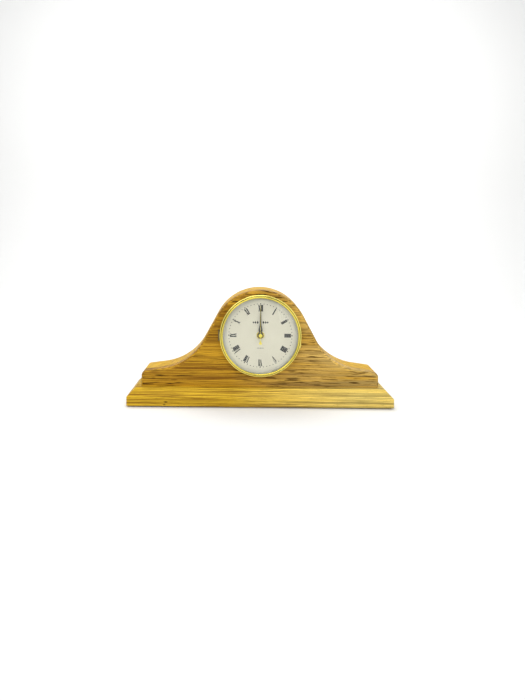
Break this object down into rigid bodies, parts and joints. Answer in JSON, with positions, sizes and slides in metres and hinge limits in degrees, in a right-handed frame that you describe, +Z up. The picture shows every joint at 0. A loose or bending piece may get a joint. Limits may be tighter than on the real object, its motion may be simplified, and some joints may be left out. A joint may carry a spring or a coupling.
{
  "type": "mantel clock",
  "caption": "Oak tambour mantel clock with a hinged round brass bezel and convex glass, a Roman numeral dial, a quartz movement inside and a round rear door.",
  "frame": {"origin": "centre of the footprint, on the surface under the felt feet", "axes": "+X along the base to the viewer's right, +Y from the dial to the back, +Z up"},
  "size_m": [0.417, 0.084, 0.1818],
  "materials": {
    "oak_case": "satin lacquered oak",
    "oak_base": "satin lacquered oak",
    "felt": "dyed felt",
    "steel": "bright zinc plate",
    "brass": "polished and lacquered",
    "brass_satin": "satin",
    "pan_metal": "brass-plated pressing",
    "dial_face": "ivory printed enamel",
    "glass": "polished",
    "gasket": "matt",
    "hand_black": "satin black",
    "hand_gold": "gilt",
    "case_plastic": "moulded black",
    "gear_white": "acetal, natural",
    "gear_amber": "acetal, amber",
    "bridge_plastic": "moulded grey",
    "board_green": "circuit board with solder mask",
    "chip_black": "epoxy drop",
    "silver_can": "nickel can",
    "core_iron": "soft iron lamination",
    "copper": "enamelled copper wire",
    "hinge_bronze": "antiqued",
    "magnet": "sintered magnet",
    "cell_sleeve": "printed sleeve over steel can",
    "rubber_black": "matt"
  },
  "bodies": {
    "case": {"base_board": "oak_base", "felt_feet": "felt", "base_screws": "steel", "case_front_board": "oak_case", "case_middle_board": "oak_case", "case_rear_board": "oak_case", "dial_pan": "pan_metal", "dial_pan_screws": "brass_satin", "dial_plate": "dial_face", "bezel_hinge_leaf": "hinge_bronze", "bezel_hinge_pin": "hinge_bronze", "movement_case": "case_plastic", "movement_cover": "case_plastic", "threaded_bushing": "brass_satin", "rubber_washer": "rubber_black", "brass_washer": "brass", "hex_nut": "brass", "train_bridge": "bridge_plastic", "circuit_board": "board_green", "quartz_crystal": "silver_can", "driver_chip": "chip_black", "stator": "core_iron", "coil_core": "core_iron", "coil_bobbin": "bridge_plastic", "coil_winding": "copper", "battery_cell": "cell_sleeve", "battery_positive_contact": "steel", "battery_negative_spring": "steel", "door_hinge_leaf_fixed": "brass_satin", "door_hinge_pin": "steel", "door_hinge_screws_fixed": "brass_satin", "catch_magnet": "magnet"},
    "bezel": {"bezel_ring": "brass", "crystal_glass": "glass", "glass_gasket": "gasket", "bezel_hinge_knuckle": "hinge_bronze"},
    "door": {"rear_door": "oak_case", "door_knob": "brass", "door_knob_screw": "steel", "door_hinge_leaf_moving": "brass_satin", "door_hinge_screws_moving": "brass_satin", "catch_strike": "steel"},
    "second": {"second_hand": "hand_gold", "second_hand_cap": "hand_gold", "second_wheel": "gear_amber"},
    "third": {"third_wheel": "gear_white"},
    "center": {"center_wheel": "gear_amber"},
    "intermediate": {"intermediate_wheel": "gear_white"},
    "rotor": {"rotor_pinion": "gear_amber", "rotor_magnet": "magnet"},
    "minute": {"minute_hand": "hand_black", "cannon_pinion": "gear_white"},
    "hour": {"hour_hand": "hand_black", "hour_wheel": "gear_white"},
    "motion": {"motion_wheel": "gear_white"},
    "setting": {"set_shaft": "gear_white", "set_knob": "case_plastic"}
  },
  "joints": [
    {"name": "bezel_hinge", "type": "hinge", "parent": "case", "child": "bezel", "pos_m": [-0.0664, -0.0245, 0.11], "axis": [0, 0, -1], "range_deg": [0, 105]},
    {"name": "door_hinge", "type": "hinge", "parent": "case", "child": "door", "pos_m": [0.063, 0.0334, 0.11], "axis": [0, 0, -1], "range_deg": [0, 110]},
    {"name": "second_turn", "type": "hinge", "parent": "case", "child": "second", "pos_m": [0, -0.0105, 0.11], "axis": [0, 1, 0], "continuous": true},
    {"name": "third_turn", "type": "hinge", "parent": "case", "child": "third", "pos_m": [-0.00764, -0.0105, 0.11764], "axis": [0, 1, 0], "continuous": true},
    {"name": "center_turn", "type": "hinge", "parent": "case", "child": "center", "pos_m": [0, -0.0105, 0.11], "axis": [0, 1, 0], "continuous": true},
    {"name": "intermediate_turn", "type": "hinge", "parent": "case", "child": "intermediate", "pos_m": [0, -0.0105, 0.119], "axis": [0, 1, 0], "continuous": true},
    {"name": "rotor_turn", "type": "hinge", "parent": "case", "child": "rotor", "pos_m": [0.00495, -0.0105, 0.12395], "axis": [0, 1, 0], "continuous": true},
    {"name": "minute_turn", "type": "hinge", "parent": "case", "child": "minute", "pos_m": [0, -0.0105, 0.11], "axis": [0, 1, 0], "continuous": true},
    {"name": "hour_turn", "type": "hinge", "parent": "case", "child": "hour", "pos_m": [0, -0.0105, 0.11], "axis": [0, 1, 0], "continuous": true},
    {"name": "motion_turn", "type": "hinge", "parent": "case", "child": "motion", "pos_m": [0.0096, -0.0105, 0.11], "axis": [0, 1, 0], "continuous": true},
    {"name": "setting_turn", "type": "hinge", "parent": "case", "child": "setting", "pos_m": [0.0192, -0.0105, 0.11], "axis": [0, 1, 0], "continuous": true}
  ],
  "couplings": [
    {"joint": "third_turn", "follows": "second_turn", "ratio": -0.13333},
    {"joint": "center_turn", "follows": "second_turn", "ratio": 0.016667},
    {"joint": "intermediate_turn", "follows": "second_turn", "ratio": -5},
    {"joint": "rotor_turn", "follows": "second_turn", "ratio": 30},
    {"joint": "motion_turn", "follows": "minute_turn", "ratio": -0.33333},
    {"joint": "hour_turn", "follows": "minute_turn", "ratio": 0.083333},
    {"joint": "setting_turn", "follows": "minute_turn", "ratio": 1}
  ]
}
